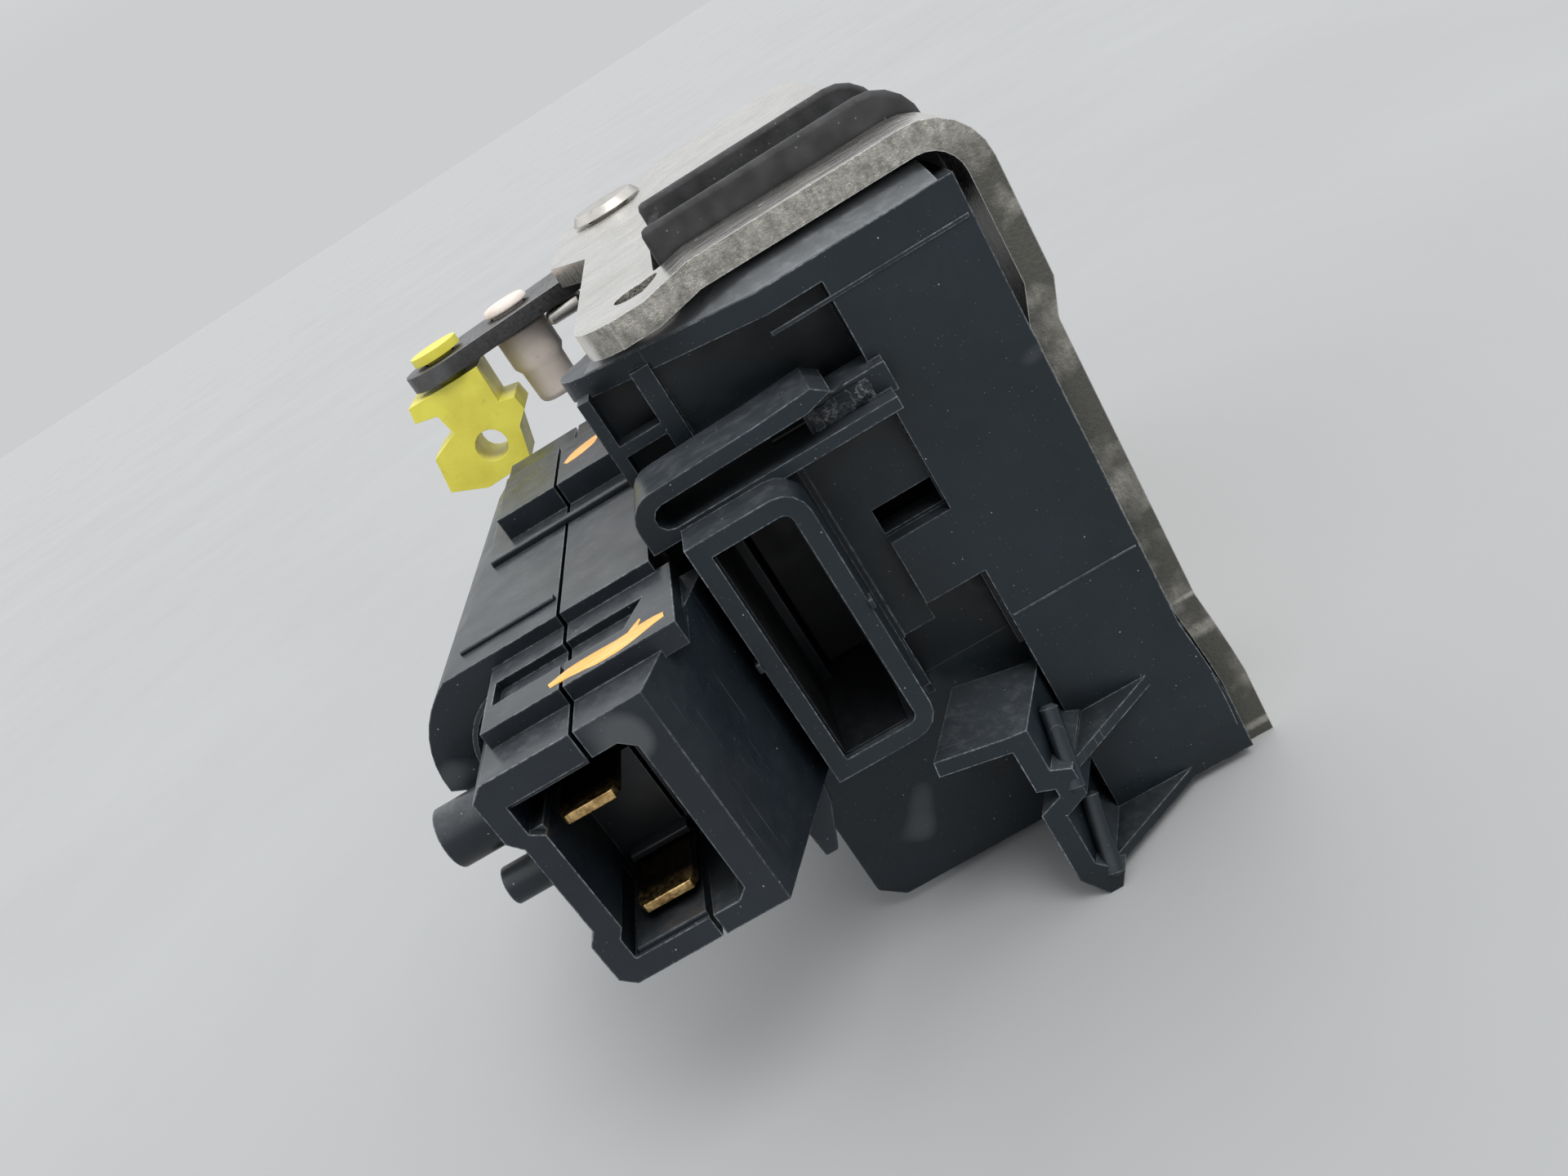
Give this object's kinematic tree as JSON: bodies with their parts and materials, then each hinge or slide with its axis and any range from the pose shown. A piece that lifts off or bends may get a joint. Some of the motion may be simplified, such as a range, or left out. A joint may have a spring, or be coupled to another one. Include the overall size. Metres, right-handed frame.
{
  "type": "car door latch",
  "caption": "Side-door latch: bent steel faceplate with a striker slot over a claw and pawl, release and locking levers, and an electric lock actuator with a two-pin socket.",
  "frame": {"origin": "middle of the faceplate's lower seating pad, on its outer face", "axes": "+X out of the faceplate towards the door edge, +Y along the latch away from the connector, +Z towards the folded flange"},
  "size_m": [0.0618, 0.1, 0.0621],
  "materials": {
    "case_black": "moulded black, satin",
    "housing_black": "moulded black, slightly glossier",
    "plated_steel": "zinc-plated and worn",
    "dark_steel": "phosphated",
    "spring_steel": "drawn wire",
    "brass": "tarnished",
    "black_rubber": "dull",
    "yellow_plastic": "satin",
    "nylon": "natural nylon",
    "gear_plastic": "natural acetal"
  },
  "bodies": {
    "latch": {"faceplate": "plated_steel", "latch_case": "case_black", "striker_guide": "black_rubber", "striker_bumper": "black_rubber", "claw_rivet": "plated_steel", "pawl_rivet": "plated_steel", "claw_spring": "spring_steel", "pawl_spring": "spring_steel", "outside_spring": "spring_steel", "inner_plate": "plated_steel", "lever_cover": "case_black", "inside_lever_pin": "plated_steel", "lock_lever_pin": "plated_steel", "outside_rivet": "plated_steel", "housing_left": "housing_black", "housing_right": "housing_black", "terminal_upper": "brass", "terminal_lower": "brass", "motor_can": "dark_steel", "motor_end_cap": "case_black", "housing_screw_1": "plated_steel", "housing_screw_2": "plated_steel", "housing_screw_3": "plated_steel"},
    "claw": {"claw": "dark_steel", "claw_jacket": "case_black"},
    "pawl": {"pawl": "dark_steel", "pawl_post": "dark_steel"},
    "release_lever": {"release_lever": "plated_steel"},
    "outside_lever": {"outside_lever": "dark_steel", "lever_bush": "nylon"},
    "rod_clip": {"rod_clip": "yellow_plastic"},
    "inside_lever": {"inside_lever": "plated_steel"},
    "lock_wheel": {"worm_wheel": "gear_plastic", "output_shaft": "plated_steel", "output_arm": "gear_plastic"},
    "motor_rotor": {"motor_shaft": "spring_steel", "worm": "brass"},
    "lock_lever": {"lock_lever": "plated_steel"}
  },
  "joints": [
    {"name": "claw_pivot", "type": "hinge", "parent": "latch", "child": "claw", "pos_m": [-0.0074, -0.0075, 0.0255], "axis": [1, 0, 0], "range_deg": [0, 60], "stiffness_Nm_per_rad": 0.02, "springref_deg": -57.3},
    {"name": "pawl_pivot", "type": "hinge", "parent": "latch", "child": "pawl", "pos_m": [-0.0074, 0.019, 0.0095], "axis": [1, 0, 0], "range_deg": [0, 7.1]},
    {"name": "release_pivot", "type": "hinge", "parent": "latch", "child": "release_lever", "pos_m": [-0.0204, 0.019, 0.0095], "axis": [1, 0, 0], "range_deg": [0, 7.1]},
    {"name": "outside_lever_pivot", "type": "hinge", "parent": "latch", "child": "outside_lever", "pos_m": [-0.0299, 0.028, 0.0507], "axis": [0, 0, -1], "range_deg": [0, 23], "stiffness_Nm_per_rad": 0.03, "springref_deg": -45.84},
    {"name": "clip_swivel", "type": "hinge", "parent": "outside_lever", "child": "rod_clip", "pos_m": [-0.0544, 0.018, 0.0507], "axis": [0, 0, 1], "range_deg": [-60, 60]},
    {"name": "inside_lever_pivot", "type": "hinge", "parent": "latch", "child": "inside_lever", "pos_m": [-0.0234, 0.002, 0.0105], "axis": [-1, 0, 0], "range_deg": [0, 25], "stiffness_Nm_per_rad": 0.01, "springref_deg": -34.38},
    {"name": "wheel_turn", "type": "hinge", "parent": "latch", "child": "lock_wheel", "pos_m": [-0.0483, -0.01, 0.0233], "axis": [1, 0, 0], "range_deg": [0, 50]},
    {"name": "motor_spin", "type": "hinge", "parent": "latch", "child": "motor_rotor", "pos_m": [-0.0494, -0.01, 0.0319], "axis": [0, 1, 0], "range_deg": [-702, 2]},
    {"name": "lock_lever_pivot", "type": "hinge", "parent": "latch", "child": "lock_lever", "pos_m": [-0.026, 0.016, 0.0233], "axis": [1, 0, 0], "range_deg": [-37.2, 0.2]}
  ],
  "couplings": [
    {"joint": "pawl_pivot", "follows": "outside_lever_pivot", "ratio": 0.3043},
    {"joint": "release_pivot", "follows": "outside_lever_pivot", "ratio": 0.3043},
    {"joint": "motor_spin", "follows": "wheel_turn", "ratio": -14},
    {"joint": "lock_lever_pivot", "follows": "wheel_turn", "ratio": -0.74}
  ]
}
